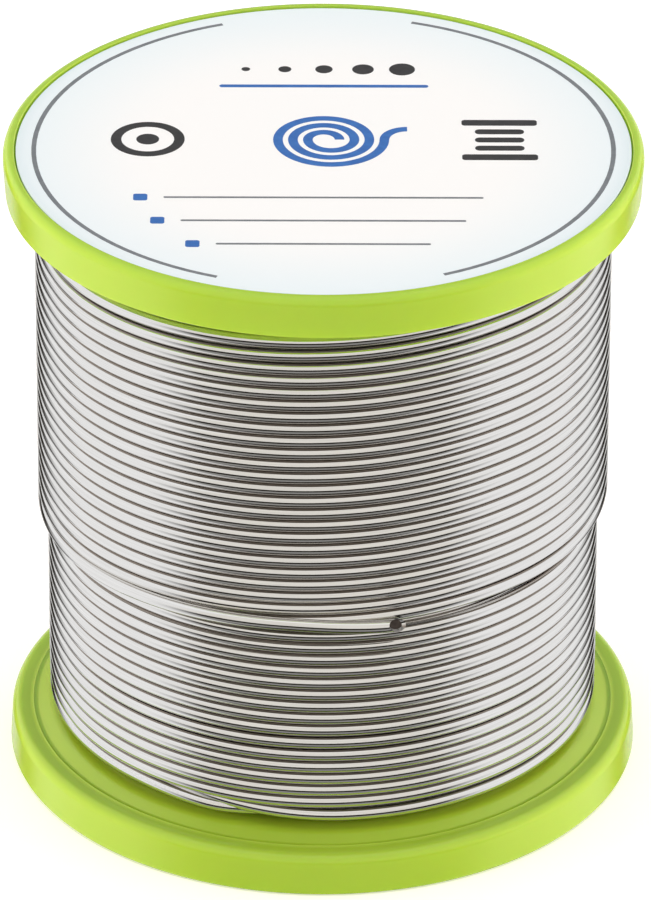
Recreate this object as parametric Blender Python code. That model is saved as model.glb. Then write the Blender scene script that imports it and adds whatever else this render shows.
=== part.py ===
"""Solder wire spool: a two-part moulded spool, its end label and the wire wound on it.

Units are metres, +Z is up along the spool's axis, and the origin is at the middle of the
face that the spool stands on.
"""
import math

import bmesh
import bpy
from mathutils import Vector

# Spool body
SPOOL_HEIGHT = 0.0775
FLANGE_DIAMETER = 0.0730
HUB_DIAMETER = 0.0200
BORE_DIAMETER = 0.0120
SPIGOT_LENGTH = 0.0100

# Flange section, measured from the outer face towards the wire
WEB_OFFSET = 0.0060          # outer face to the wire side of the web
WEB_THICKNESS = 0.0022
RIM_HEIGHT = 0.0050
RIM_WIDTH = 0.0025           # rounded band between the rim wall and the crease
RIM_DRAFT = 0.0003           # radius that the rim wall loses towards the wire
RIM_CREASE = 0.0003          # depth of the crease between the rim and the dished face
DISH_RUN = 0.0027            # radial run of the sloped face from the crease to the web
RIM_EDGE_RADIUS = 0.0005
LIP_WIDTH = 0.00135          # lip round the label
LEDGE_WIDTH = 0.00265        # ledge that the label's edge lies on
RIB_COUNT = 8
RIB_THICKNESS = 0.0016
RIB_DROP = 0.0002            # ribs end this far below the ledge

# Label
LABEL_THICKNESS = 0.0002
LABEL_SINK = 0.00025         # the lip stands this far above the label

# Wire
WIRE_DIAMETER = 0.0015
WINDING_DIAMETER = 0.0659    # over the outer layer
LAYER_STEP = 0.00132         # radius between two nested layers
OUTER_LAYER_END = 0.0335     # height of the outer layer's cut end
CUT_END_ANGLE = math.radians(-75.6)
OUTER_PART_LOOP = 0.5        # the outer layer starts this much of a loop away, at the back
UNDER_PART_LOOP = 0.0

# Clearances
FIT_GAP = 0.0003             # between pieces that touch
LABEL_SIDE_GAP = 0.0002
LEAST_TURN_GAP = 0.00041     # between neighbouring turns of one layer
ROOT_EMBED = 0.0005          # how deep a rib's root reaches into the moulding

# Facets
TURNED_STEPS = 64
LOOP_POINTS = 24
ARC_POINTS = 4

FLANGE_RADIUS = FLANGE_DIAMETER / 2
HUB_RADIUS = HUB_DIAMETER / 2
BORE_RADIUS = BORE_DIAMETER / 2
WIRE_RADIUS = WIRE_DIAMETER / 2
LEDGE_DEPTH = LABEL_SINK + LABEL_THICKNESS + FIT_GAP
LIP_RADIUS = FLANGE_RADIUS - LIP_WIDTH
RECESS_RADIUS = LIP_RADIUS - LEDGE_WIDTH
RECESS_DEPTH = WEB_OFFSET - WEB_THICKNESS
SEAM_HEIGHT = SPOOL_HEIGHT / 2
SPIGOT_RADIUS = (HUB_RADIUS + BORE_RADIUS - FIT_GAP) / 2
SOCKET_RADIUS = SPIGOT_RADIUS + FIT_GAP

WINDING_BOTTOM = WEB_OFFSET + FIT_GAP
WINDING_TOP = SPOOL_HEIGHT - WEB_OFFSET - FIT_GAP
OUTER_LAYER_RADIUS = WINDING_DIAMETER / 2 - WIRE_RADIUS
UNDER_LAYER_RADIUS = OUTER_LAYER_RADIUS - LAYER_STEP


def clear_scene():
    for old in list(bpy.data.objects):
        bpy.data.objects.remove(old, do_unlink=True)


def finish_material(name, colour, roughness, metallic=0.0):
    material = bpy.data.materials.new(name)
    material.use_nodes = True
    shader = material.node_tree.nodes["Principled BSDF"]
    shader.inputs["Base Color"].default_value = (*colour, 1.0)
    shader.inputs["Roughness"].default_value = roughness
    shader.inputs["Metallic"].default_value = metallic
    return material


def add_object(name, data, material=None):
    node = bpy.data.objects.new(name, data)
    bpy.context.collection.objects.link(node)
    if material is not None:
        data.materials.append(material)
    return node


def arc(centre, radius, start, end):
    """Points of a round corner in the (radius, height) plane, angles in degrees."""
    points = []
    for step in range(ARC_POINTS):
        angle = math.radians(start + (end - start) * step / (ARC_POINTS - 1))
        points.append((centre[0] + radius * math.cos(angle), centre[1] + radius * math.sin(angle)))
    return points


def turned(name, profile, material):
    """A closed (radius, height) outline, clockwise, turned about Z by a Screw modifier."""
    outline = bmesh.new()
    corners = [outline.verts.new((radius, 0.0, height)) for radius, height in profile]
    for corner, following in zip(corners, corners[1:] + corners[:1]):
        outline.edges.new((corner, following))
    mesh = bpy.data.meshes.new(name)
    outline.to_mesh(mesh)
    outline.free()
    node = add_object(name, mesh, material)
    screw = node.modifiers.new("turn", "SCREW")
    screw.axis = "Z"
    screw.steps = TURNED_STEPS
    screw.render_steps = TURNED_STEPS
    screw.use_merge_vertices = True
    screw.merge_threshold = 0.00001
    screw.use_smooth_shade = True
    return node


def flange_outline():
    """Half a spool's section from the foot of the hub, round the flange, to the bore's mouth."""
    crease_radius = FLANGE_RADIUS - RIM_DRAFT - RIM_WIDTH
    wall_top = FLANGE_RADIUS - RIM_DRAFT
    edge = RIM_EDGE_RADIUS
    outline = [
        (HUB_RADIUS, WEB_OFFSET),
        (crease_radius - DISH_RUN, WEB_OFFSET),
        (crease_radius, RIM_HEIGHT - RIM_CREASE),
        (crease_radius + RIM_CREASE, RIM_HEIGHT),
    ]
    outline += arc((wall_top - edge, RIM_HEIGHT - edge), edge, 90, 0)
    outline += arc((FLANGE_RADIUS - edge, edge), edge, 0, -90)
    outline += [
        (LIP_RADIUS, 0.0),
        (LIP_RADIUS, LEDGE_DEPTH),
        (RECESS_RADIUS, LEDGE_DEPTH),
        (RECESS_RADIUS, RECESS_DEPTH),
        (HUB_RADIUS, RECESS_DEPTH),
        (HUB_RADIUS, LEDGE_DEPTH),
        (BORE_RADIUS, LEDGE_DEPTH),
    ]
    return outline


def mirrored(outline):
    """The same section at the upper end of the spool, still clockwise."""
    return [(radius, SPOOL_HEIGHT - height) for radius, height in reversed(outline)]


def rib_guide(name, low, high):
    """A star of radial ribs between two heights, rooted in the rim and the hub."""
    inner = HUB_RADIUS - ROOT_EMBED
    outer = RECESS_RADIUS + ROOT_EMBED
    star = bmesh.new()
    for index in range(RIB_COUNT):
        rib = bmesh.ops.create_cube(star, size=1.0)["verts"]
        bmesh.ops.scale(star, vec=(outer - inner, RIB_THICKNESS, high - low), verts=rib)
        bmesh.ops.translate(star, vec=((outer + inner) / 2, 0.0, (high + low) / 2), verts=rib)
        turn = math.tau * index / RIB_COUNT
        for vert in rib:
            x, y, z = vert.co
            vert.co = (x * math.cos(turn) - y * math.sin(turn), x * math.sin(turn) + y * math.cos(turn), z)
    mesh = bpy.data.meshes.new(name)
    star.to_mesh(mesh)
    star.free()
    guide = add_object(name, mesh)
    guide.hide_render = True
    guide.display_type = "WIRE"
    return guide


def add_ribs(half, guide):
    union = half.modifiers.new("ribs", "BOOLEAN")
    union.operation = "UNION"
    union.solver = "EXACT"
    union.object = guide


def spool_halves():
    """Two mouldings, each a flange with half the hub, that plug together at mid-height."""
    plastic_lower = finish_material("lower_spool_half", (0.42, 0.62, 0.05), 0.32)
    plastic_upper = finish_material("upper_spool_half", (0.42, 0.62, 0.05), 0.32)
    low_face = SEAM_HEIGHT - FIT_GAP / 2
    high_face = SEAM_HEIGHT + FIT_GAP / 2
    socket_floor = low_face - SPIGOT_LENGTH - FIT_GAP
    socket = [
        (BORE_RADIUS, socket_floor),
        (SOCKET_RADIUS, socket_floor),
        (SOCKET_RADIUS, low_face),
        (HUB_RADIUS, low_face),
    ]
    spigot = [
        (HUB_RADIUS, high_face),
        (SPIGOT_RADIUS, high_face),
        (SPIGOT_RADIUS, low_face - SPIGOT_LENGTH),
        (BORE_RADIUS, low_face - SPIGOT_LENGTH),
    ]
    lower = turned("lower_spool_half", flange_outline() + socket, plastic_lower)
    upper = turned("upper_spool_half", mirrored(flange_outline()) + spigot, plastic_upper)
    rib_low = LEDGE_DEPTH + RIB_DROP
    rib_high = RECESS_DEPTH + ROOT_EMBED
    add_ribs(lower, rib_guide("lower_rib_guide", rib_low, rib_high))
    add_ribs(upper, rib_guide("upper_rib_guide", SPOOL_HEIGHT - rib_high, SPOOL_HEIGHT - rib_low))


def top_label():
    """The round label that lies in the upper flange and closes the bore there."""
    radius = LIP_RADIUS - LABEL_SIDE_GAP
    disc = bmesh.new()
    bmesh.ops.create_cone(
        disc, cap_ends=True, segments=TURNED_STEPS, radius1=radius, radius2=radius, depth=LABEL_THICKNESS)
    middle = SPOOL_HEIGHT - LABEL_SINK - LABEL_THICKNESS / 2
    bmesh.ops.translate(disc, vec=(0.0, 0.0, middle), verts=disc.verts)
    mesh = bpy.data.meshes.new("top_label")
    disc.to_mesh(mesh)
    disc.free()
    add_object("top_label", mesh, finish_material("top_label", (0.90, 0.93, 0.95), 0.35))


def turn_core_radius(layer_radius):
    """Radius that clears the straight chords of a layer's turns."""
    return layer_radius * math.cos(math.pi / LOOP_POINTS) - WIRE_RADIUS - FIT_GAP


def inner_layers():
    """The wire below the layers that show, as one stepped core round the hub."""
    wide = turn_core_radius(OUTER_LAYER_RADIUS)
    narrow = turn_core_radius(UNDER_LAYER_RADIUS)
    bore = HUB_RADIUS + FIT_GAP
    step = OUTER_LAYER_END - WIRE_RADIUS
    core = [
        (bore, WINDING_TOP),
        (wide, WINDING_TOP),
        (wide, step),
        (narrow, step),
        (narrow, WINDING_BOTTOM),
        (bore, WINDING_BOTTOM),
    ]
    turned("wire_inner_layers", core, finish_material("wire_inner_layers", (0.62, 0.62, 0.62), 0.25, 1.0))


def helix(radius, start_height, end_height, part_loop):
    """Points of one layer, wound anticlockwise seen from above and ending at the cut end's angle.

    Both ends run straight on for one wire diameter.
    """
    end_angle = CUT_END_ANGLE
    room = abs(end_height - start_height) / (WIRE_DIAMETER + LEAST_TURN_GAP)
    loops = int(room - part_loop) + part_loop
    count = round(loops * LOOP_POINTS)
    points = []
    for index in range(count + 1):
        share = index / count
        angle = end_angle - math.tau * loops * (1.0 - share)
        height = start_height + (end_height - start_height) * share
        points.append(Vector((radius * math.cos(angle), radius * math.sin(angle), height)))
    start_angle = end_angle - math.tau * loops
    run_in = Vector((math.sin(start_angle), -math.cos(start_angle), 0.0))
    run_out = Vector((-math.sin(end_angle), math.cos(end_angle), 0.0))
    return [points[0] + run_in * WIRE_DIAMETER] + points + [points[-1] + run_out * WIRE_DIAMETER]


def least_gap(points):
    """Smallest clearance between parts of one tube that are at least half a loop apart."""
    nearest = min(
        (points[i] - points[j]).length
        for i in range(len(points))
        for j in range(i + LOOP_POINTS // 2, len(points)))
    return nearest - WIRE_DIAMETER


def wound_layer(name, points):
    """One unbroken tube of wire along the points."""
    curve = bpy.data.curves.new(name, "CURVE")
    curve.dimensions = "3D"
    curve.twist_mode = "Z_UP"
    curve.bevel_depth = WIRE_RADIUS
    curve.bevel_resolution = 1
    curve.use_fill_caps = True
    spline = curve.splines.new("POLY")
    spline.points.add(len(points) - 1)
    for target, point in zip(spline.points, points):
        target.co = (*point, 1.0)
    add_object(name, curve, finish_material(name, (0.78, 0.78, 0.78), 0.18, 1.0))
    print(f"{name}: least gap to itself {least_gap(points) * 1000:.2f} mm")


def visible_layers():
    """The outer layer, wound down from the top to the cut end, and the layer under it."""
    clear = WIRE_RADIUS
    outer = helix(OUTER_LAYER_RADIUS, WINDING_TOP - clear, OUTER_LAYER_END, OUTER_PART_LOOP)
    wound_layer("wire_outer_layer", outer)
    under_end = OUTER_LAYER_END - WIRE_DIAMETER - FIT_GAP
    under = helix(UNDER_LAYER_RADIUS, WINDING_BOTTOM + clear, under_end, UNDER_PART_LOOP)
    wound_layer("wire_under_layer", under)


def main():
    clear_scene()
    spool_halves()
    top_label()
    inner_layers()
    visible_layers()


main()
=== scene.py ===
# %% [markdown]
# # A spool of solder wire
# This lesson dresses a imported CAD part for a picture. The CAD holds a lime-green spool, its round
# label and simplified windings. Here each of them gets a finer piece in the same place, and then a
# finish, a floor and studio light. The object's lengths are written in millimetres, and MM turns
# them into Blender's metres.

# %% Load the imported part
import math

import bmesh
import bpy
from mathutils import Matrix, Vector


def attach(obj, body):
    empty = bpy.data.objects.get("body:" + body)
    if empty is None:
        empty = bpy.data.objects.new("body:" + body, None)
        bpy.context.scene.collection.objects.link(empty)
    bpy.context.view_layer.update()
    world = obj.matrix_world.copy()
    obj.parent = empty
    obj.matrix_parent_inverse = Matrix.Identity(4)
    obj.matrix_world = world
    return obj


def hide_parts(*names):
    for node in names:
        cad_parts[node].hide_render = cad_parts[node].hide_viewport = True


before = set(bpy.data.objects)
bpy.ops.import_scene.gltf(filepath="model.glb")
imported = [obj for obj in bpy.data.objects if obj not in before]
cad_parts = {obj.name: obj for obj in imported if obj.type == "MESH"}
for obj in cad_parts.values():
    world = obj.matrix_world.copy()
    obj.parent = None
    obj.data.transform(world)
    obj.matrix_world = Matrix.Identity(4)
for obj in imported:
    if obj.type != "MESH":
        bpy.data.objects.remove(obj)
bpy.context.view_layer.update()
MM = 0.001

# %% [markdown]
# ## The camera
# A product photo like this is taken from far away with a long lens, so the two flanges look almost
# the same width. The camera could be placed by eye, but the ellipses of the flanges fix it: their
# width gives the scale, their height the angle from above. It stands in front of the spool, on -Y.

# %% Camera
CAMERA_HEIGHT_ANGLE = math.radians(29.547)
CAMERA_DISTANCE = 1121.77 * MM
CAMERA_ROLL = math.radians(0.148)
CAMERA_TARGET = Vector((0.299, 0.0, 37.825)) * MM

camera_data = bpy.data.cameras.new("photo_camera")
camera_data.lens = 388.53
camera_data.sensor_width = 36.0
camera_data.clip_start = 0.05
camera_data.clip_end = 50.0
camera = bpy.data.objects.new("photo_camera", camera_data)
bpy.context.collection.objects.link(camera)
towards_camera = Vector((0.0, -math.cos(CAMERA_HEIGHT_ANGLE), math.sin(CAMERA_HEIGHT_ANGLE)))
camera.location = CAMERA_TARGET + towards_camera * CAMERA_DISTANCE
facing = (-towards_camera).to_track_quat("-Z", "Y").to_matrix()
camera.rotation_euler = (facing @ Matrix.Rotation(CAMERA_ROLL, 3, "Z")).to_euler()
bpy.context.scene.camera = camera
print("camera at", [round(x, 4) for x in camera.location])

# %% [markdown]
# ## Finishes from nodes
# A finish is a graph of nodes. It could be drawn in the shader editor, but a script can be read and
# run again. Each helper makes one node, fills its inputs with numbers or with the outputs of other
# nodes, and gives back its output, so a graph reads like a formula.

# %% Helpers for nodes
def fill(tree, node, inputs):
    """Puts numbers, or the outputs of other nodes, into a node's inputs by name or number."""
    for key, value in inputs.items():
        if isinstance(value, bpy.types.NodeSocket):
            tree.links.new(value, node.inputs[key])
        else:
            node.inputs[key].default_value = value
    return node


def add_range(tree, value, low, high, to_low=0.0, to_high=1.0, soft=True):
    """Maps values from low to high onto another range, softly onto 0 to 1 if not told otherwise."""
    node = tree.nodes.new("ShaderNodeMapRange")
    node.interpolation_type = "SMOOTHSTEP" if soft else "LINEAR"
    return fill(tree, node, {
        "Value": value, "From Min": low, "From Max": high, "To Min": to_low, "To Max": to_high,
    }).outputs["Result"]


def add_blend(tree, factor, first, second):
    """Mixes two colours by a value that changes over the surface."""
    node = tree.nodes.new("ShaderNodeMix")
    node.data_type = "RGBA"
    for key, colour in (("A", first), ("B", second)):
        ready = isinstance(colour, bpy.types.NodeSocket)
        fill(tree, node, {key: colour if ready else (*colour, 1.0)})
    return fill(tree, node, {"Factor": factor}).outputs["Result"]


def new_finish(name):
    """A material and its node tree."""
    material = bpy.data.materials.new(name)
    material.use_nodes = True
    return material, material.node_tree


def shade(finish, inputs):
    """Fills the inputs of a finish's shader."""
    nodes = finish.node_tree.nodes
    fill(finish.node_tree, nodes["Principled BSDF"], inputs)
    print(finish.name, "with", len(nodes), "nodes")


print("finishes that came with the frame:", len(bpy.data.materials))

# %% [markdown]
# ## Fine grain, shared by several finishes
# No moulded or printed surface is even all over. A node group holds one soft noise whose range is
# set by its inputs, so each finish can use it for its own roughness or tone. The group puts out a
# value only: the shader itself stays in each material, where an exporter can find it.

# %% Grain group
NOISE_LOW, NOISE_HIGH = 0.3, 0.7

grain = bpy.data.node_groups.new("fine_grain", "ShaderNodeTree")
for socket in ("Scale", "Low", "High"):
    grain.interface.new_socket(socket, in_out="INPUT", socket_type="NodeSocketFloat")
grain.interface.new_socket("Value", in_out="OUTPUT", socket_type="NodeSocketFloat")
grain_in = grain.nodes.new("NodeGroupInput")
grain_place = grain.nodes.new("ShaderNodeTexCoord")
grain_noise = fill(grain, grain.nodes.new("ShaderNodeTexNoise"), {
    "Vector": grain_place.outputs["Object"],
    "Scale": grain_in.outputs["Scale"],
    "Detail": 5.0,
})
grain_value = add_range(
    grain, grain_noise.outputs["Fac"], NOISE_LOW, NOISE_HIGH,
    grain_in.outputs["Low"], grain_in.outputs["High"], soft=False)
fill(grain, grain.nodes.new("NodeGroupOutput"), {"Value": grain_value})


def add_grain(tree, scale, low=0.0, high=1.0):
    """Places the shared grain in a finish."""
    node = tree.nodes.new("ShaderNodeGroup")
    node.node_tree = grain
    return fill(tree, node, {"Scale": scale, "Low": low, "High": high}).outputs["Value"]


def add_bump(tree, height, strength, depth):
    """Small dents and bumps that follow a value."""
    node = tree.nodes.new("ShaderNodeBump")
    return fill(tree, node, {
        "Height": height, "Strength": strength, "Distance": depth}).outputs["Normal"]


print("grain group with", len(grain.nodes), "nodes")

# %% [markdown]
# ## Lime-green plastic
# The spool is moulded in a glossy plastic that lets a little light in, so its thin edges glow. A
# plain glossy colour would look like paint. Subsurface scattering gives the glow: green light goes
# deepest, red less deep and blue hardly at all. The colour drifts slightly, as pigment does in a
# moulding, and the gloss is a little uneven.

# %% Plastic finish
LIME_DEEP, LIME_LIGHT = (0.35, 0.56, 0.034), (0.37, 0.58, 0.041)

plastic, plastic_tree = new_finish("lime_moulded_plastic")
shade(plastic, {
    "Base Color": add_blend(plastic_tree, add_grain(plastic_tree, 60.0), LIME_DEEP, LIME_LIGHT),
    "Roughness": add_grain(plastic_tree, 400.0, 0.20, 0.27),
    "Normal": add_bump(
        plastic_tree, add_grain(plastic_tree, 700.0), strength=0.03, depth=0.02 * MM),
    "IOR": 1.5,
    "Coat Weight": 0.3,
    "Coat Roughness": 0.15,
    "Subsurface Weight": 0.35,
    "Subsurface Radius": (0.6, 1.0, 0.3),
    "Subsurface Scale": 3.0 * MM,
})

# %% [markdown]
# ## The two mouldings
# A spool like this is moulded in two halves that plug together in the middle of the hub. Each half
# is a turned shape, so it is drawn as one half-section, its corners are rounded while it is still
# flat, and a full spin turns it. A lathe-like spin keeps every ring true, which matters because the
# rim's highlights show the smallest dent.

# %% Helpers for turned pieces
ORIGIN, AXIS = (0.0, 0.0, 0.0), (0.0, 0.0, 1.0)
CORNER_SEGMENTS = 6
SPIN_STEPS = 256


def rounded_section(points):
    """A flat outline of (radius, height, corner radius), rounded where the last one isn't zero."""
    section = bmesh.new()
    corners = [section.verts.new((radius * MM, 0.0, height * MM)) for radius, height, _ in points]
    section.faces.new(corners)
    for corner, (_, _, rounding) in zip(corners, points):
        if rounding > 0.0:
            bmesh.ops.bevel(
                section, geom=[corner], offset=rounding * MM, offset_type="OFFSET",
                segments=CORNER_SEGMENTS, profile=0.5, affect="VERTICES", material=-1)
    bmesh.ops.delete(section, geom=section.faces[:], context="FACES_ONLY")
    return section


def spin_full(section, steps):
    """Turns the section about the spool's axis."""
    bmesh.ops.spin(
        section, geom=section.verts[:] + section.edges[:], cent=ORIGIN, axis=AXIS,
        angle=math.tau, steps=steps, use_merge=True)
    bmesh.ops.remove_doubles(section, verts=section.verts[:], dist=0.001 * MM)
    bmesh.ops.recalc_face_normals(section, faces=section.faces[:])


print("turned pieces have", SPIN_STEPS, "steps and", CORNER_SEGMENTS, "segments in a corner")

# %% Helpers for pieces
def make_object(name, shape):
    """Turns a bmesh into an object in the scene."""
    mesh = bpy.data.meshes.new(name)
    shape.to_mesh(mesh)
    shape.free()
    made = bpy.data.objects.new(name, mesh)
    bpy.context.collection.objects.link(made)
    return made


def add_piece(name, shape, *finishes):
    """Makes a smooth-shaded piece and lets it ride on the spool."""
    piece = make_object(name, shape)
    piece.data.shade_smooth()
    for finish in finishes:
        piece.data.materials.append(finish)
    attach(piece, "root")
    triangles = sum(len(face.vertices) - 2 for face in piece.data.polygons)
    print(name, "has", triangles, "triangles")
    return piece


def even_normals(piece):
    """Keeps wide flat faces flat next to narrow rounded ones."""
    modifier = piece.modifiers.new("even_normals", "WEIGHTED_NORMAL")
    modifier.keep_sharp = True


print("CAD nodes to dress:", len(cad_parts))

# %% Half-section of a flange
SPOOL_HEIGHT = 77.5
FLANGE_RADIUS = 36.5
HUB_RADIUS = 10.0
BORE_RADIUS = 6.0
WEB_HEIGHT, WEB_RADIUS = 6.0, 31.0
RIM_HEIGHT, RIM_RADIUS = 5.0, 36.2
BEAD_RADIUS, BEAD_WIDTH = 33.8, 0.6
RECESS_HEIGHT, RECESS_RADIUS = 3.8, 32.5
LEDGE_HEIGHT, LIP_RADIUS = 0.75, 35.15


def flange_section(wire_edge, outer_edge):
    """Section of a flange, with the roundings of its rim's two outer edges."""
    return [
        (HUB_RADIUS, WEB_HEIGHT, 0.5),
        (WEB_RADIUS, WEB_HEIGHT, 1.2),
        (BEAD_RADIUS - BEAD_WIDTH / 2, RIM_HEIGHT - 0.05, 0.3),
        (BEAD_RADIUS, RIM_HEIGHT + 0.1, 0.1),
        (BEAD_RADIUS + BEAD_WIDTH / 2, RIM_HEIGHT, 0.2),
        (RIM_RADIUS, RIM_HEIGHT, wire_edge),
        (FLANGE_RADIUS, 0.0, outer_edge),
        (LIP_RADIUS, 0.0, 0.15),
        (LIP_RADIUS, LEDGE_HEIGHT, 0.0),
        (RECESS_RADIUS, LEDGE_HEIGHT, 0.25),
        (RECESS_RADIUS, RECESS_HEIGHT, 0.5),
        (HUB_RADIUS, RECESS_HEIGHT, 0.5),
        (HUB_RADIUS, LEDGE_HEIGHT, 0.25),
        (BORE_RADIUS, LEDGE_HEIGHT, 0.25),
    ]


lower_flange = flange_section(wire_edge=1.1, outer_edge=0.5)
upper_flange = [
    (radius, SPOOL_HEIGHT - height, rounding)
    for radius, height, rounding in reversed(flange_section(wire_edge=0.12, outer_edge=1.1))]
print("flange section with", len(lower_flange), "corners")

# %% Half-sections of the hub
SEAM = SPOOL_HEIGHT / 2
SEAM_GAP = 0.15
SPIGOT_RADIUS, SPIGOT_LENGTH = 7.85, 10.15
SOCKET_RADIUS, SOCKET_DEPTH = SPIGOT_RADIUS + 0.3, 10.45

socket_section = [
    (BORE_RADIUS, SEAM - SOCKET_DEPTH, 0.0),
    (SOCKET_RADIUS, SEAM - SOCKET_DEPTH, 0.0),
    (SOCKET_RADIUS, SEAM - SEAM_GAP, 0.2),
    (HUB_RADIUS, SEAM - SEAM_GAP, 0.2),
]
spigot_section = [
    (HUB_RADIUS, SEAM + SEAM_GAP, 0.2),
    (SPIGOT_RADIUS, SEAM + SEAM_GAP, 0.0),
    (SPIGOT_RADIUS, SEAM - SPIGOT_LENGTH, 0.3),
    (BORE_RADIUS, SEAM - SPIGOT_LENGTH, 0.0),
]
print("the halves meet at", SEAM, "mm")

# %% [markdown]
# Thin mouldings are stiffened by ribs, and here a star of them stands in the recess of each flange.
# They could be cut out of the turned shape, but a block with rounded edges that reaches a little
# into the hub, the rim and the web looks the same and keeps the rings of the spin as they are.

# %% Ribs in the recess of a flange
RIB_COUNT = 8
RIB_THICKNESS, RIB_ROUNDING = 1.6, 0.3
RIB_ROOT = 0.4
RIB_SETBACK = 0.2


def rib_mesh(low, high, turn):
    """One radial rib with rounded edges, rooted in the hub and the rim and turned to its place."""
    inner = HUB_RADIUS - RIB_ROOT
    outer = RECESS_RADIUS + RIB_ROOT
    size = Vector((outer - inner, RIB_THICKNESS, high - low)) * MM
    middle = Vector(((outer + inner) / 2, 0.0, (high + low) / 2)) * MM
    rib = bmesh.new()
    bmesh.ops.create_cube(rib, size=1.0)
    bmesh.ops.scale(rib, vec=size, verts=rib.verts[:])
    bmesh.ops.bevel(
        rib, geom=rib.edges[:], offset=RIB_ROUNDING * MM, offset_type="OFFSET", segments=3,
        profile=0.5, affect="EDGES", material=-1)
    bmesh.ops.translate(rib, vec=middle, verts=rib.verts[:])
    bmesh.ops.rotate(
        rib, cent=ORIGIN, matrix=Matrix.Rotation(turn, 3, "Z"), verts=rib.verts[:])
    mesh = bpy.data.meshes.new("rib")
    rib.to_mesh(mesh)
    rib.free()
    return mesh


def add_ribs(shape, low, high):
    """A star of ribs in a moulding."""
    for number in range(RIB_COUNT):
        mesh = rib_mesh(low, high, math.tau * number / RIB_COUNT)
        shape.from_mesh(mesh)
        bpy.data.meshes.remove(mesh)


print("each half gets", RIB_COUNT, "ribs")

# %% Spin the halves
RIB_LOW, RIB_HIGH = LEDGE_HEIGHT + RIB_SETBACK, RECESS_HEIGHT + RIB_ROOT


def add_moulding(name, node, section, rib_low, rib_high):
    """One half of the spool, in the place of its CAD node."""
    shape = rounded_section(section)
    spin_full(shape, SPIN_STEPS)
    add_ribs(shape, rib_low, rib_high)
    moulding = add_piece(name, shape, plastic)
    even_normals(moulding)
    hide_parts(node)


add_moulding(
    "spool_lower_moulding", "lower_spool_half", lower_flange + socket_section,
    RIB_LOW, RIB_HIGH)
add_moulding(
    "spool_upper_moulding", "upper_spool_half", upper_flange + spigot_section,
    SPOOL_HEIGHT - RIB_HIGH, SPOOL_HEIGHT - RIB_LOW)

# %% [markdown]
# ## The label
# A round label of coated paper lies in the upper flange. It is white in the middle and turns a pale
# blue towards its edge. The tint could be painted, but a gradient on the distance from the axis is
# exact and needs no picture.

# %% Paper finish
PAPER_WHITE, PAPER_BLUE = (0.94, 0.96, 0.97), (0.81, 0.91, 0.96)
TINT_START, TINT_END = 19.0 * MM, 36.5 * MM


def add_flat_place(tree, operation, output):
    """Works on Object coordinates without their height, for a distance or a direction."""
    place = tree.nodes.new("ShaderNodeTexCoord")
    flat = tree.nodes.new("ShaderNodeVectorMath")
    flat.operation = "MULTIPLY"
    fill(tree, flat, {0: place.outputs["Object"], 1: (1.0, 1.0, 0.0)})
    node = tree.nodes.new("ShaderNodeVectorMath")
    node.operation = operation
    return fill(tree, node, {0: flat.outputs["Vector"]}).outputs[output]


paper, paper_tree = new_finish("coated_label_paper")
paper_radius = add_flat_place(paper_tree, "LENGTH", "Value")
paper_edge = add_range(paper_tree, paper_radius, TINT_START, TINT_END)
shade(paper, {
    "Base Color": add_blend(paper_tree, paper_edge, PAPER_WHITE, PAPER_BLUE),
    "Roughness": add_grain(paper_tree, 1500.0, 0.36, 0.44),
})

# %% Label disc
LABEL_RADIUS = 34.95
LABEL_INSET, LABEL_THICKNESS = 0.25, 0.2
LABEL_TOP = SPOOL_HEIGHT - LABEL_INSET
LABEL_BOTTOM = LABEL_TOP - LABEL_THICKNESS

label_shape = rounded_section([
    (0.0, LABEL_TOP, 0.0),
    (LABEL_RADIUS, LABEL_TOP, 0.05),
    (LABEL_RADIUS, LABEL_BOTTOM, 0.0),
    (0.0, LABEL_BOTTOM, 0.0),
])
spin_full(label_shape, SPIN_STEPS)
label = add_piece("label_disc", label_shape, paper)
even_normals(label)
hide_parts("top_label")

# %% [markdown]
# ## The print on the label
# The label carries two grey arcs along its edge and a few plain signs: a coil, a section through a
# cored wire, a spool, a row of gauge dots and lines to write on. Print could be a picture on the
# paper, but thin raised inks need no picture, keep sharp edges close up and go along in an export.
# Each ink is one flat sheet of shapes that gets its thickness at the end.

# %% Inks
def new_ink(name, thin, full):
    """A printing ink that covers the paper a little unevenly."""
    ink, tree = new_finish(name)
    shade(ink, {
        "Base Color": add_blend(tree, add_grain(tree, 900.0), thin, full),
        "Roughness": add_grain(tree, 1500.0, 0.36, 0.46),
    })
    return ink


grey_ink = new_ink("grey_ink", (0.20, 0.22, 0.24), (0.15, 0.17, 0.19))
blue_ink = new_ink("blue_ink", (0.03, 0.16, 0.50), (0.02, 0.12, 0.42))
black_ink = new_ink("black_ink", (0.030, 0.030, 0.032), (0.018, 0.018, 0.020))

# %% Arcs, bars and dots
PRINT_LEVEL = LABEL_TOP + 0.01
DEGREES_PER_STEP = 3


def on_label(x, y):
    """A place on the label, in metres."""
    return Vector((x, y, PRINT_LEVEL)) * MM


def print_arc(sheet, x, y, radius, width, first, last):
    """An arc of even width about (x, y) from one angle to another, or a ring for 360 degrees."""
    turn = Vector((math.cos(math.radians(first)), math.sin(math.radians(first)), 0.0)) * MM
    ends = [
        sheet.verts.new(on_label(x, y) + turn * (radius + side * width / 2)) for side in (-1, 1)]
    span = last - first
    bmesh.ops.spin(
        sheet, geom=ends + [sheet.edges.new(ends)], cent=on_label(x, y), axis=AXIS,
        angle=math.radians(span), steps=round(span / DEGREES_PER_STEP), use_merge=span == 360)


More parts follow.
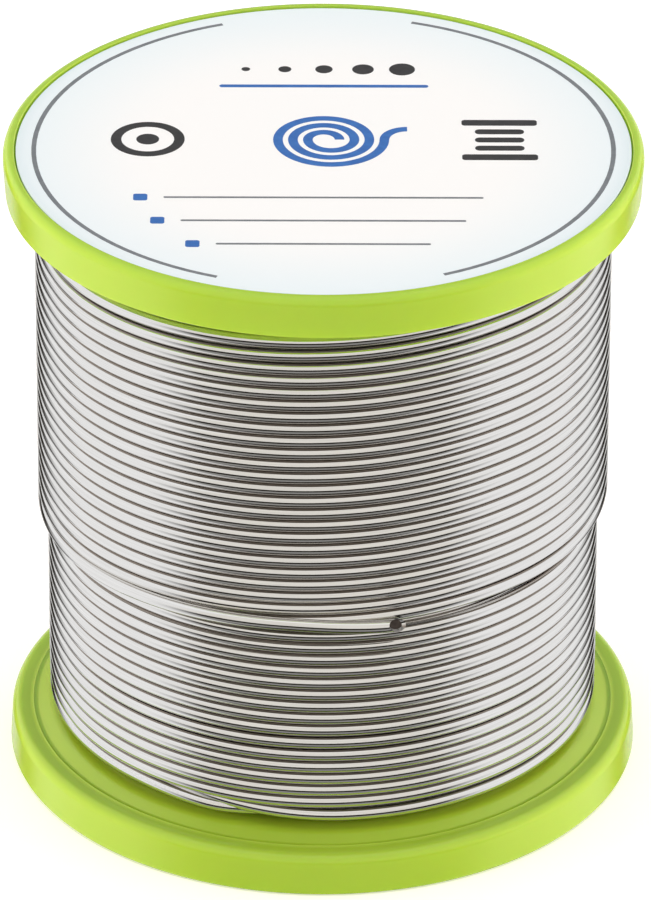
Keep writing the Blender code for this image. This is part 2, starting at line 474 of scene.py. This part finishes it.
def print_bar(sheet, x, y, length, height, rounding):
    """A bar with rounded ends."""
    size = Matrix.Diagonal((length * MM, height * MM, 1.0, 1.0))
    place = Matrix.Translation(on_label(x, y)) @ size
    bar = bmesh.ops.create_grid(sheet, x_segments=1, y_segments=1, size=0.5, matrix=place)
    bmesh.ops.bevel(
        sheet, geom=bar["verts"], offset=rounding * MM, offset_type="OFFSET", segments=5,
        profile=0.5, affect="VERTICES", material=-1)


def print_dot(sheet, x, y, radius):
    """A round dot."""
    bmesh.ops.create_circle(
        sheet, cap_ends=True, segments=32, radius=radius * MM,
        matrix=Matrix.Translation(on_label(x, y)))


print("print lies at", PRINT_LEVEL, "mm")

# %% The coil and the thickness of ink
INK_THICKNESS = 0.02


def print_coil(sheet, x, y, radius, width, gap, half_turns, tail):
    """A coil of half circles about two centres in turn, which ends in a quarter circle outwards."""
    step = (width + gap) / 2
    ends = [sheet.verts.new(on_label(x + radius + side * width / 2, y)) for side in (-1, 1)]
    end = ends + [sheet.edges.new(ends)]
    for half in range(half_turns):
        end = bmesh.ops.spin(
            sheet, geom=end, cent=on_label(x + step * (half % 2), y), axis=AXIS, angle=math.pi,
            steps=32)["geom_last"]
    outside = radius + step * half_turns
    bmesh.ops.spin(
        sheet, geom=end, cent=on_label(x + outside + tail, y), axis=AXIS, angle=-math.pi / 2,
        steps=16)


def add_print(name, sheet, ink):
    """Gives a sheet of flat shapes the thickness of a layer of ink."""
    for face in sheet.faces:
        face.normal_update()
        if face.normal.z < 0.0:
            face.normal_flip()
    bmesh.ops.solidify(sheet, geom=sheet.faces[:], thickness=INK_THICKNESS * MM)
    bmesh.ops.recalc_face_normals(sheet, faces=sheet.faces[:])
    piece = add_piece(name, sheet, ink)
    piece.data.shade_flat()


print("ink is", INK_THICKNESS, "mm thick")

# %% Grey: arcs along the edge and lines to write on
ARC_RADIUS, ARC_WIDTH = 32.9, 0.54
WRITING_LINES = ((-12.0, 36.0), (-17.5, 32.0), (-23.0, 24.0))

grey_sheet = bmesh.new()
for first, last in ((-66.0, 72.0), (111.0, 249.0)):
    print_arc(grey_sheet, 0.0, 0.0, ARC_RADIUS, ARC_WIDTH, first, last)
for level, length in WRITING_LINES:
    print_bar(grey_sheet, 0.0, level, length, height=0.4, rounding=0.19)
add_print("label_print_grey", grey_sheet, grey_ink)

# %% Blue: the coil, a rule and a box before each line
SIGN_LEVEL, RULE_LEVEL = 2.0, 15.2
BOX_SIZE, BOX_GAP = 1.6, 2.6

blue_sheet = bmesh.new()
print_coil(
    blue_sheet, 0.0, SIGN_LEVEL, radius=1.8, width=1.1, gap=0.6, half_turns=6, tail=2.6)
print_bar(blue_sheet, 0.0, RULE_LEVEL, length=24.0, height=0.7, rounding=0.34)
for level, length in WRITING_LINES:
    print_bar(blue_sheet, -length / 2 - BOX_GAP, level, BOX_SIZE, BOX_SIZE, rounding=0.3)
add_print("label_print_blue", blue_sheet, blue_ink)

# %% Black: wire section, spool and gauge dots
SIGN_ASIDE = 20.0
GAUGE_DOTS, GAUGE_SPACING, GAUGE_LEVEL = 5, 4.5, 19.4

black_sheet = bmesh.new()
print_arc(black_sheet, -SIGN_ASIDE, SIGN_LEVEL, radius=3.6, width=1.2, first=0.0, last=360.0)
print_dot(black_sheet, -SIGN_ASIDE, SIGN_LEVEL, radius=1.3)
for rise in (-4.2, 4.2):
    print_bar(black_sheet, SIGN_ASIDE, SIGN_LEVEL + rise, length=8.6, height=1.4, rounding=0.4)
for rise in (-2.0, 0.0, 2.0):
    print_bar(black_sheet, SIGN_ASIDE, SIGN_LEVEL + rise, length=5.6, height=1.2, rounding=0.55)
for number in range(GAUGE_DOTS):
    aside = GAUGE_SPACING * (number - (GAUGE_DOTS - 1) / 2)
    print_dot(black_sheet, aside, GAUGE_LEVEL, radius=0.5 + 0.25 * number)
add_print("label_print_black", black_sheet, black_ink)

# %% [markdown]
# ## The wire
# The wire is a bright tin alloy, drawn through a die, so it is almost a mirror with fine lines
# along it. A tube along a curve has a UV map that runs with the wire, and a noise stretched along
# that map gives the drawing lines in the right direction everywhere. Where turns touch, the
# underside of each turn is painted a dark brown as shade, and made rougher. An attribute on the
# mesh says how far a point of the wire faces down into such a groove.

# %% Wire finish
TIN_DIM, TIN_BRIGHT = (0.69, 0.675, 0.65), (0.97, 0.955, 0.93)
# The groove colour is painted shade on the undersides of the turns, where they touch.
GROOVE_PAINTED_SHADE = (0.35, 0.30, 0.26)
MIRROR_GLOSS, LINE_GLOSS, GROOVE_DULLNESS = 0.06, 0.11, 0.22


def add_math(tree, operation, *values):
    """Works out one to three values."""
    node = tree.nodes.new("ShaderNodeMath")
    node.operation = operation
    return fill(tree, node, dict(enumerate(values))).outputs["Value"]


tin, tin_tree = new_finish("bright_drawn_tin")
tin_map = tin_tree.nodes.new("ShaderNodeUVMap")
tin_map.uv_map = "UVMap"
tin_groove = tin_tree.nodes.new("ShaderNodeAttribute")
tin_groove.attribute_name = "groove"
tin_stretch = fill(tin_tree, tin_tree.nodes.new("ShaderNodeMapping"), {
    "Vector": tin_map.outputs["UV"], "Scale": (300.0, 40.0, 1.0)})
tin_lines = fill(tin_tree, tin_tree.nodes.new("ShaderNodeTexNoise"), {
    "Vector": tin_stretch.outputs["Vector"], "Scale": 1.0, "Detail": 3.0})
tin_gloss = add_range(
    tin_tree, tin_lines.outputs["Fac"], NOISE_LOW, NOISE_HIGH, MIRROR_GLOSS, LINE_GLOSS, soft=False)
tin_metal = add_blend(tin_tree, tin_lines.outputs["Fac"], TIN_DIM, TIN_BRIGHT)
shade(tin, {
    "Metallic": 1.0,
    "Base Color": add_blend(tin_tree, tin_groove.outputs["Fac"], tin_metal, GROOVE_PAINTED_SHADE),
    "Roughness": add_math(
        tin_tree, "MULTIPLY_ADD", tin_groove.outputs["Fac"], GROOVE_DULLNESS, tin_gloss),
})

# %% Helpers for the way of a strand
POINTS_PER_TURN = 192


def ease(value, start, end):
    """0 up to start, 1 from end on, and a soft change between them."""
    share = min(max((value - start) / (end - start), 0.0), 1.0)
    return share * share * (3.0 - 2.0 * share)


def steady(value, start, end):
    """The same, but the change goes on at an almost steady rate."""
    share = min(max((value - start) / (end - start), 0.0), 1.0)
    return (share + ease(share, 0.0, 1.0)) / 2


def moved(angle, moves, radius, height):
    """Radius and height after a strand's moves, each (start, end, outwards, upwards)."""
    for start, end, outwards, upwards in moves:
        share = ease(angle, start, end)
        radius += outwards * share
        height += upwards * share
    return radius, height


def wind(first_angle, last_angle, line):
    """Points of a strand from one angle to another, in degrees; line gives (radius, height)."""
    count = round((last_angle - first_angle) / 360.0 * POINTS_PER_TURN)
    points = []
    for step in range(count + 1):
        angle = first_angle + (last_angle - first_angle) * step / count
        radius, height = line(angle)
        turn = math.radians(angle)
        points.append((radius * math.cos(turn) * MM, radius * math.sin(turn) * MM, height * MM))
    return points


print("a turn of wire has", POINTS_PER_TURN, "points")

# %% Helper for round wire
WIRE_RADIUS = 0.75
GROOVE_START, GROOVE_FULL = 0.50, 0.60


def wire_shape(name, strands):
    """A bmesh of round wire along each strand; painted shade lies where its surface faces down
    enough.
    """
    curve = bpy.data.curves.new(name + "_line", "CURVE")
    curve.dimensions = "3D"
    curve.twist_mode = "Z_UP"
    curve.bevel_depth = WIRE_RADIUS * MM
    curve.bevel_resolution = 6
    curve.use_fill_caps = True
    for points in strands:
        spline = curve.splines.new("POLY")
        spline.points.add(len(points) - 1)
        for target, point in zip(spline.points, points):
            target.co = (*point, 1.0)
    line = bpy.data.objects.new(name + "_line", curve)
    bpy.context.collection.objects.link(line)
    ready = line.evaluated_get(bpy.context.evaluated_depsgraph_get())
    tube = bpy.data.meshes.new_from_object(ready)
    shape = bmesh.new()
    shape.from_mesh(tube)
    shape.normal_update()
    groove = shape.verts.layers.float.new("groove")
    for vert in shape.verts:
        # The painted shade on the wire follows this value: how far the surface faces down.
        vert[groove] = ease(-vert.normal.z, GROOVE_START, GROOVE_FULL)
    bpy.data.objects.remove(line, do_unlink=True)
    bpy.data.curves.remove(curve)
    bpy.data.meshes.remove(tube)
    return shape


print("the wire is", 2 * WIRE_RADIUS, "mm across")

# %% [markdown]
# ## The upper turns
# Wound wire doesn't climb like a screw thread. Each turn lies level in the groove below it and
# steps up by one wire at one place, here at the front, where the turns are seen to slant. A screw
# operator can't do that, so a formula gives the points of the strand. The lowest turn comes out of
# the layer below, behind the tail with the cut end, and the last one goes in under the flange.

# %% Upper turns
UPPER_RADIUS = 32.2
UPPER_PITCH = 1.546
UPPER_FIRST_LEVEL = 34.57
UPPER_TURNS = 24
UPPER_START, UPPER_END = -165.0, 360.0 * UPPER_TURNS - 140.0
STEP_START, STEP_END = -146.0, -53.0
LOOSE_START, LOOSE_END, LOOSE_GAP = 66.3, 69.8, 0.3
START_DEPTH = 2.9
FIRST_SAG = 0.2
UPPER_MOVES = (
    (UPPER_START, -95.0, START_DEPTH, 0.0),    # out of the layer below
    (-80.0, -30.0, 0.0, -FIRST_SAG),           # a little low past the cut end
    (185.0, 245.0, 0.0, FIRST_SAG),            # and level again
    (UPPER_END - 40.0, UPPER_END, -1.5, 0.0),  # in under the flange
)


def upper_line(angle):
    """Radius and height of the upper strand; the angle grows by 360 with each turn."""
    turn = math.floor((angle - STEP_START) / 360.0)
    share = steady(angle - 360.0 * turn, STEP_START, STEP_END)
    height = UPPER_FIRST_LEVEL + UPPER_PITCH * (turn - 1 + share)
    height += LOOSE_GAP * ease(height, LOOSE_START, LOOSE_END)
    return moved(angle, UPPER_MOVES, UPPER_RADIUS - START_DEPTH, height)


upper_strand = wind(UPPER_START, UPPER_END, upper_line)
upper_turns = add_piece("wire_upper_turns", wire_shape("wire_upper_turns", [upper_strand]), tin)
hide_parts("wire_outer_layer")
print("UV maps of the upper turns:", [layer.name for layer in upper_turns.data.uv_layers])

# %% [markdown]
# ## The lower turns and the tail
# Below the cut end one layer fewer is left on the spool, so these turns lie deeper. They step up at
# the back. The last one, the tail, climbs out of its layer, lies over the first of the upper turns
# and springs down a little at its end. Two short strands show beside it: one of the layer below,
# next to the cut end, and one that goes in behind the crossing at the bottom. Their ways are small
# tables of moves, so each can be changed without the others.

# %% Way of the lower turns
LOWER_RADIUS = 31.1
LOWER_PITCH = 1.552
LOWER_TOP_LEVEL = 31.32
LOWER_TURNS = 15
LOWER_START = -500.0
LOWER_STEP_START, LOWER_STEP_END = -307.0, -233.0
APART_START, APART_END, APART_GAP = 7.5, 10.5, 0.24
CROSSING_DEPTH, CROSSING_HIGH, CROSSING_LOW = 1.0, 0.8, 1.76
CROSSING_OUT, CROSSING_FALL = (-138.0, -92.0), (-128.0, -87.0)
TAIL_MOVES = (
    (-290.0, -200.0, 1.1, -0.2),  # out of its layer
    (-180.0, -95.0, 1.49, 1.53),  # over the first upper turn
    (-98.0, -72.0, 0.35, -0.42),  # off it at the end
)


def lower_level(turn):
    """Height of a lower turn; half-way down the turns lie a little apart."""
    below = LOWER_TURNS - 1 - turn
    return LOWER_TOP_LEVEL - LOWER_PITCH * below - APART_GAP * ease(below, APART_START, APART_END)


def lower_line(angle):
    """Radius and height of the lower strand, which starts with the crossing at the bottom."""
    turn = math.floor((angle - LOWER_STEP_START) / 360.0)
    place = angle - 360.0 * turn
    if turn < 0:
        inside = CROSSING_DEPTH * (1.0 - ease(place, *CROSSING_OUT))
        drop = CROSSING_HIGH + (CROSSING_LOW - CROSSING_HIGH) * steady(place, *CROSSING_FALL)
        return LOWER_RADIUS - inside, lower_level(0) - drop
    step = CROSSING_LOW if turn == 0 else lower_level(turn) - lower_level(turn - 1)
    height = lower_level(turn) - step * (1.0 - steady(place, LOWER_STEP_START, LOWER_STEP_END))
    return moved(place, TAIL_MOVES if turn == LOWER_TURNS else (), LOWER_RADIUS, height)


print("lower turns from", round(lower_level(0), 2), "to", LOWER_TOP_LEVEL, "mm")

# %% Two short strands, and the shape of all three
CUT_ANGLE = -75.6
SPARE_END = 3.0
HIDDEN_START, HIDDEN_END = 100.0, 266.0
HIDDEN_DEPTH, HIDDEN_DROP = 1.75, 1.53
HIDDEN_MOVES = (
    (HIDDEN_START, 140.0, HIDDEN_DEPTH, 0.0),  # out at the back
    (226.0, 248.0, 0.0, -0.39),                # down below the crossing
    (245.0, 267.0, -1.6, 0.0),                 # in behind it
)
UNDER_START, UNDER_END = -110.0, 75.0
UNDER_DEPTH, UNDER_RISE = 1.4, 1.3
UNDER_MOVES = (
    (-75.0, -20.0, UNDER_RISE, 0.0),  # out beside the cut end
    (30.0, 70.0, -1.6, 0.0),          # in under the upper turns
)


def hidden_line(angle):
    """The short strand that shows below the crossing and goes in behind it."""
    return moved(
        angle, HIDDEN_MOVES, LOWER_RADIUS - HIDDEN_DEPTH, lower_level(0) - HIDDEN_DROP)


def under_line(angle):
    """The layer below, which shows beside the cut end and then goes on under the upper turns."""
    return moved(angle, UNDER_MOVES, LOWER_RADIUS - UNDER_DEPTH, lower_level(LOWER_TURNS))


lower_strand = wind(LOWER_START, 360.0 * LOWER_TURNS + CUT_ANGLE + SPARE_END, lower_line)
hidden_strand = wind(HIDDEN_START, HIDDEN_END, hidden_line)
under_strand = wind(UNDER_START, UNDER_END, under_line)
lower_shape = wire_shape("wire_lower_turns", [lower_strand, hidden_strand, under_strand])
print("lower turns have", len(lower_shape.faces), "faces")

# %% [markdown]
# ## The cut end
# The wire was cut at a slant. Its end could be sculpted, but a cut with one plane gives the clean
# edge of the tool: what lies past the plane goes, and a face closes the hole. An inset leaves a
# ring around the middle, which is pushed in, because the core of flux breaks off deeper than the
# metal. The middle is dark flux. The low and far sides of the ring are torn metal, and the rest of
# the ring is painted dark as shade, in the colour of the flux. The edge is marked sharp, so that
# the smooth shading of the wire doesn't run over it.

# %% Finishes of the torn metal, and of the flux that also serves as painted shade
TORN_DIM, TORN_BRIGHT = (0.14, 0.135, 0.125), (0.62, 0.60, 0.57)
# The flux colours stand for the flux core, and also paint shade on the upper part of the ring.
FLUX_AND_SHADE_DARK, FLUX_AND_SHADE_BROWN = (0.010, 0.008, 0.007), (0.026, 0.021, 0.017)

torn, torn_tree = new_finish("torn_tin")
shade(torn, {
    "Metallic": 1.0,
    "Base Color": add_blend(torn_tree, add_grain(torn_tree, 2500.0), TORN_DIM, TORN_BRIGHT),
    "Roughness": add_grain(torn_tree, 2500.0, 0.25, 0.5),
    "Normal": add_bump(torn_tree, add_grain(torn_tree, 1800.0), strength=0.5, depth=0.06 * MM),
})
flux_and_shade, flux_and_shade_tree = new_finish("dark_flux_and_painted_shade")
shade(flux_and_shade, {
    "Base Color": add_blend(flux_and_shade_tree, add_grain(flux_and_shade_tree, 1200.0), FLUX_AND_SHADE_DARK, FLUX_AND_SHADE_BROWN),
    "Roughness": add_grain(flux_and_shade_tree, 2000.0, 0.5, 0.7),
    "Specular IOR Level": 0.25,
})

# %% Cut with a plane
LEAN_LEVEL, LEAN_STEEP = 0.87, 0.49
CUT_ALONG, CUT_FACING = 0.55, 0.835
END_REACH = 3.6 * MM
END_RADIUS = (LOWER_RADIUS + WIRE_RADIUS + 0.1) * MM

cut_radius, cut_height = lower_line(360.0 * LOWER_TURNS + CUT_ANGLE)
cut_turn = math.radians(CUT_ANGLE)
OUT = Vector((math.cos(cut_turn), math.sin(cut_turn), 0.0))
ALONG = Vector((-math.sin(cut_turn), math.cos(cut_turn), 0.0))
UP = Vector((0.0, 0.0, 1.0))
TIP = (OUT * cut_radius + UP * cut_height) * MM
FACING = (OUT * LEAN_LEVEL + UP * LEAN_STEEP).normalized()
UPWARDS = (UP * LEAN_LEVEL - OUT * LEAN_STEEP).normalized()
CUT_NORMAL = (ALONG * CUT_ALONG + FACING * CUT_FACING).normalized()


def in_lifted_end(vert):
    """True for the end of the tail only, which stands out from the turns beside it."""
    return vert.co.xy.length > END_RADIUS and (vert.co - TIP).length < END_REACH


end_verts = [vert for vert in lower_shape.verts if in_lifted_end(vert)]
end_edges = list(dict.fromkeys(edge for vert in end_verts for edge in vert.link_edges))
end_faces = list(dict.fromkeys(face for vert in end_verts for face in vert.link_faces))
cut = bmesh.ops.bisect_plane(
    lower_shape, geom=end_verts + end_edges + end_faces, dist=0.0001 * MM, clear_outer=True,
    plane_co=TIP, plane_no=CUT_NORMAL)
cut_edges = [item for item in cut["geom_cut"] if isinstance(item, bmesh.types.BMEdge)]
for edge in cut_edges:
    edge.smooth = False
print("cut leaves", len(cut_edges), "edges")

# %% Close the end and push in its middle
RING_WIDTH = 0.2 * MM
HOLLOW_SHIFT = (UPWARDS * 0.13 - CUT_NORMAL * 0.25) * MM
LOW_SIDE, FAR_SIDE = -0.25, 0.85
TORN_SLOT, FLUX_AND_SHADE_SLOT = 1, 2

cut_faces = bmesh.ops.edgeloop_fill(lower_shape, edges=cut_edges)["faces"]
torn_ring = bmesh.ops.inset_region(
    lower_shape, faces=cut_faces, thickness=RING_WIDTH, depth=0.0, use_even_offset=True)["faces"]
hollow = list(dict.fromkeys(vert for face in cut_faces for vert in face.verts))
bmesh.ops.translate(lower_shape, verts=hollow, vec=HOLLOW_SHIFT)
# Ring faces that are not torn metal get the dark flux colour as painted shade.
for face in torn_ring:
    offset = (face.calc_center_median() - TIP) / MM
    bare = offset.dot(UPWARDS) < LOW_SIDE or offset.dot(ALONG) > FAR_SIDE
    face.material_index = TORN_SLOT if bare else FLUX_AND_SHADE_SLOT
for face in cut_faces:
    face.material_index = FLUX_AND_SHADE_SLOT
print("cut closed with", len(cut_faces), "face and a ring of", len(torn_ring))
lower_turns = add_piece("wire_lower_turns", lower_shape, tin, torn, flux_and_shade)
for face in lower_turns.data.polygons:
    if face.material_index > 0:
        face.use_smooth = False
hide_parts("wire_under_layer")

# %% [markdown]
# ## The wire underneath
# What lies below the visible turns is seen only in their grooves, so it is one turned core. Its
# outline has a round bump for each hidden turn: one arc is spun, copied upwards and merged with its
# neighbours, and a few straight lines close the outline before it is spun about the axis.

# %% Finish of the hidden wire
DULL_DIM, DULL_BRIGHT = (0.76, 0.74, 0.71), (0.82, 0.80, 0.77)

dull_tin, dull_tree = new_finish("dull_hidden_tin")
shade(dull_tin, {
    "Metallic": 1.0,
    "Base Color": add_blend(dull_tree, add_grain(dull_tree, 300.0), DULL_DIM, DULL_BRIGHT),
    "Roughness": add_grain(dull_tree, 800.0, 0.14, 0.22),
})

# %% Bumps of the core
BUMP_SHARE = 0.52
BUMP_STEPS = 6


def add_bumps(outline, crest, first, pitch, count):
    """A row of arcs up the outside of the core; gives back its lowest and highest point."""
    known = set(outline.verts)
    bump = pitch * BUMP_SHARE
    half = math.asin(pitch / 2 / bump)
    middle = Vector((crest - bump, 0.0, first + pitch / 2)) * MM
    start = outline.verts.new(middle + Vector((math.cos(half), 0.0, -math.sin(half))) * bump * MM)
    bmesh.ops.spin(
        outline, geom=[start], cent=middle, axis=(0.0, -1.0, 0.0), angle=2 * half,
        steps=BUMP_STEPS)
    arc = [vert for vert in outline.verts if vert not in known]
    arc += list(dict.fromkeys(edge for vert in arc for edge in vert.link_edges))
    bmesh.ops.spin(
        outline, geom=arc, axis=AXIS, dvec=(0.0, 0.0, pitch * MM), angle=0.0, steps=count - 1,
        use_duplicate=True)
    bmesh.ops.remove_doubles(
        outline, verts=[vert for vert in outline.verts if vert not in known], dist=0.01 * MM)
    row = sorted((vert for vert in outline.verts if vert not in known), key=lambda vert: vert.co.z)
    return row[0], row[-1]


core_shape = bmesh.new()
lower_row = add_bumps(core_shape, crest=30.2, first=7.0, pitch=LOWER_PITCH, count=16)
upper_row = add_bumps(core_shape, crest=31.5, first=33.4, pitch=UPPER_PITCH, count=24)
print("core outline has", len(core_shape.verts), "points up its outside")

# %% Core
CORE_BORE = HUB_RADIUS + 0.3
CORE_LOW, CORE_HIGH = 6.3, 71.2
CORE_CORNERS = (
    (CORE_BORE, CORE_LOW), (29.2, CORE_LOW), (30.6, CORE_HIGH), (CORE_BORE, CORE_HIGH))
CORE_STEPS = 128

foot_inner, foot_outer, head_outer, head_inner = [
    core_shape.verts.new((radius * MM, 0.0, height * MM)) for radius, height in CORE_CORNERS]
for ends in (
        (foot_inner, foot_outer), (foot_outer, lower_row[0]), (lower_row[1], upper_row[0]),
        (upper_row[1], head_outer), (head_outer, head_inner), (head_inner, foot_inner)):
    core_shape.edges.new(ends)
spin_full(core_shape, CORE_STEPS)
core = add_piece("wire_core_turns", core_shape, dull_tin)
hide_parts("wire_inner_layers")

# %% [markdown]
# ## Floor
# The spool stands on a plain white floor. It glows a little, so that it comes out white without
# more light on the spool. Reflections don't see it: the room of the next step takes its place
# there. Floor, room and lamps are staging, not part of the object, and their sizes are in metres.

# %% Floor
FLOOR_SIZE = 4.0
FLOOR_DROP = 0.05 * MM

floor_shape = bmesh.new()
bmesh.ops.create_grid(floor_shape, x_segments=1, y_segments=1, size=FLOOR_SIZE)
floor = make_object("floor", floor_shape)
floor.location.z = -FLOOR_DROP
floor.visible_glossy = False
floor_finish, _ = new_finish("white_floor")
shade(floor_finish, {
    "Base Color": (0.9, 0.9, 0.9, 1.0),
    "Roughness": 0.9,
    "Specular IOR Level": 0.0,
    "Emission Color": (1.0, 1.0, 1.0, 1.0),
    "Emission Strength": 0.32,
})
floor.data.materials.append(floor_finish)

# %% [markdown]
# ## What the wire mirrors
# Bright wire is a mirror, so what it shows is the room, and a white floor right below would leave
# it without form. A photographer hangs dark cloth around such an object. Here spun surfaces make
# that room, and only reflections see them: they light nothing. A dark band stands in front and
# behind, with bright flanks and a lighter middle at the back. The ground is grey in front, bright
# at the sides and dark right below. The wall above is pale in front and dark behind.

# %% Tones of the room by direction
ASIDE_START, ASIDE_FULL = 0.72, 0.98
BEHIND_START, BEHIND_FULL = 0.1, 0.4
MIDDLE_START, MIDDLE_FULL = 0.80, 0.91


def room_tone(tree, front, side, back, middle, narrow):
    """Tone by the direction from the axis: for the camera's side of the spool, for its two flanks,
    for its back and for the middle of the back. A larger narrow leaves the back less room."""
    direction = tree.nodes.new("ShaderNodeSeparateXYZ")
    fill(tree, direction, {"Vector": add_flat_place(tree, "NORMALIZE", "Vector")})
    behind = add_range(tree, direction.outputs["Y"], BEHIND_START, BEHIND_FULL)
    centre = add_range(tree, direction.outputs["Y"], MIDDLE_START, MIDDLE_FULL)
    sideways = add_math(tree, "ABSOLUTE", direction.outputs["X"])
    spread = add_math(tree, "MULTIPLY_ADD", behind, narrow, 1.0)
    widened = add_math(tree, "MULTIPLY", sideways, spread)
    aside = add_range(tree, widened, ASIDE_START, ASIDE_FULL)
    rear = add_blend(tree, centre, back, middle)
    return add_blend(tree, aside, add_blend(tree, behind, front, rear), side)


print("flanks start", round(math.degrees(math.asin(ASIDE_START))), "degrees from the front")

# %% Surfaces of the room
ROOM_STEPS = 96


def room_surface(name, edge, front, side, back, middle, narrow):
    """Spins an edge of two (radius, height) into a surface that only reflections see."""
    shape = bmesh.new()
    ends = [shape.verts.new((radius, 0.0, height)) for radius, height in edge]
    bmesh.ops.spin(
        shape, geom=ends + [shape.edges.new(ends)], cent=ORIGIN, axis=AXIS, angle=math.tau,
        steps=ROOM_STEPS, use_merge=True)
    surface = make_object(name, shape)
    surface.visible_camera = False
    surface.visible_diffuse = False
    surface.visible_shadow = False
    surface.visible_transmission = False
    finish, tree = new_finish(name)
    shade(finish, {
        "Base Color": (0.0, 0.0, 0.0, 1.0),
        "Specular IOR Level": 0.0,
        "Emission Strength": 1.0,
        "Emission Color": room_tone(tree, front, side, back, middle, narrow),
    })
    surface.data.materials.append(finish)


ROOM_RADIUS, FAR_EDGE, NEAR_EDGE, AXIS_EDGE = 2.0, 1.0, 0.62, 0.0001
GROUND, BAND_TOP, WALL_TOP = -0.77, 0.18, 4.5
DARK, GREY = (0.03, 0.026, 0.022), (0.28, 0.28, 0.275)
PALE, BRIGHT = (0.82, 0.80, 0.76), (0.92, 0.93, 0.95)
BACKDROP = (0.75, 0.75, 0.75)
WALL_BACK, WALL_MIDDLE = (0.1, 0.1, 0.1), (0.4, 0.4, 0.4)
room_surface(
    "dark_band", [(ROOM_RADIUS, BAND_TOP), (ROOM_RADIUS, GROUND)],
    front=DARK, side=BRIGHT, back=DARK, middle=BACKDROP, narrow=0.08)
room_surface(
    "far_ground", [(ROOM_RADIUS, GROUND), (FAR_EDGE, GROUND)],
    front=GREY, side=BRIGHT, back=DARK, middle=BACKDROP, narrow=0.08)
room_surface(
    "near_ground", [(FAR_EDGE, GROUND), (NEAR_EDGE, GROUND)],
    front=GREY, side=BRIGHT, back=BRIGHT, middle=BACKDROP, narrow=0.5)
room_surface(
    "dark_ground", [(NEAR_EDGE, GROUND), (AXIS_EDGE, GROUND)],
    front=DARK, side=BRIGHT, back=DARK, middle=DARK, narrow=0.0)
room_surface(
    "studio_wall", [(ROOM_RADIUS, BAND_TOP), (ROOM_RADIUS, WALL_TOP)],
    front=PALE, side=BRIGHT, back=WALL_BACK, middle=WALL_MIDDLE, narrow=0.9)

# %% [markdown]
# ## Light
# One large soft box overhead gives the even light of a product photo, and two low, warm ones at
# the sides bring out the flanks of the flanges. A single lamp would be simpler, but would leave the
# flanks dull. The world is white where the camera or a reflection sees it and dimmer as a light, so
# that pale surfaces don't clip.

# %% Lamps
LAMP_AIM = Vector((0.0, 0.0, 0.04))
WHITE_LIGHT, WARM_LIGHT = (1.0, 1.0, 1.0), (1.0, 0.72, 0.52)


def soft_box(name, place, width, height, brightness, colour):
    """An area lamp whose face has that brightness, where 1 is white."""
    lamp = bpy.data.lights.new(name, "AREA")
    lamp.shape = "RECTANGLE"
    lamp.size = width
    lamp.size_y = height
    lamp.energy = brightness * math.pi * width * height
    lamp.color = colour
    box = bpy.data.objects.new(name, lamp)
    bpy.context.collection.objects.link(box)
    box.location = place
    box.rotation_euler = (LAMP_AIM - Vector(place)).to_track_quat("-Z", "Y").to_euler()
    box.visible_camera = False
    box.visible_glossy = False


soft_box(
    "overhead_box", (0.0, 0.1, 1.6), width=1.5, height=1.5, brightness=2.25, colour=WHITE_LIGHT)
for name, x in (("left_box", -0.9), ("right_box", 0.9)):
    soft_box(
        name, (x, -0.1, 0.16), width=1.0, height=0.28, brightness=11.0, colour=WARM_LIGHT)
print("lamps:", [lamp.name for lamp in bpy.data.lights])

# %% World
SKY_LIGHT, SKY_SEEN = 0.38, 1.0

world = bpy.data.worlds.new("white_studio")
world.use_nodes = True
bpy.context.scene.world = world
sky = world.node_tree
path = sky.nodes.new("ShaderNodeLightPath").outputs
seen = add_math(sky, "MAXIMUM", path["Is Camera Ray"], path["Is Glossy Ray"])
seen = add_math(sky, "MAXIMUM", seen, path["Is Transmission Ray"])
fill(sky, sky.nodes["Background"], {
    "Color": (1.0, 1.0, 1.0, 1.0),
    "Strength": add_range(sky, seen, 0.0, 1.0, SKY_LIGHT, SKY_SEEN, soft=False),
})
bpy.context.scene.view_settings.view_transform = "Standard"
print("world with", len(sky.nodes), "nodes")
